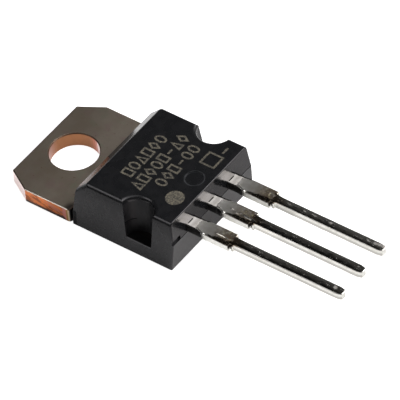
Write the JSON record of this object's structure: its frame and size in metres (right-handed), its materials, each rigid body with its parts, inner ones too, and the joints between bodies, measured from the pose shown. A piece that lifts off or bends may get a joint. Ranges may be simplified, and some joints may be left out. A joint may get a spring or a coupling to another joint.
{
  "type": "darlington transistor",
  "caption": "Power transistor: black moulded body on a flat copper tab with a screw hole, side clamp notches and straight stepped leads.",
  "frame": {"origin": "centre of the mounting hole on the back face of the tab, which is the face that lies on a heatsink", "axes": "+Z out of the back face, up through the tab and the body; +Y from the body towards the free end of the tab, so the leads point along -Y; +X across the width, base lead at -X"},
  "size_m": [0.0102, 0.029, 0.0045],
  "materials": {
    "tinned_copper": "dull tin plating over copper, bare copper on the sheared edges",
    "tinned_lead": "dull tin plating, darker and speckled towards the tips",
    "solder": "soft solder",
    "silicon": "polished silicon",
    "bond_wire": "drawn wire",
    "moulding": "black epoxy moulding, satin"
  },
  "bodies": {
    "root": {"header_and_collector_lead": "tinned_copper", "base_lead": "tinned_lead", "emitter_lead": "tinned_lead", "die_attach_solder": "solder", "silicon_die": "silicon", "base_bond_wire": "bond_wire", "emitter_bond_wire": "bond_wire", "moulded_body": "moulding"}
  },
  "joints": []
}
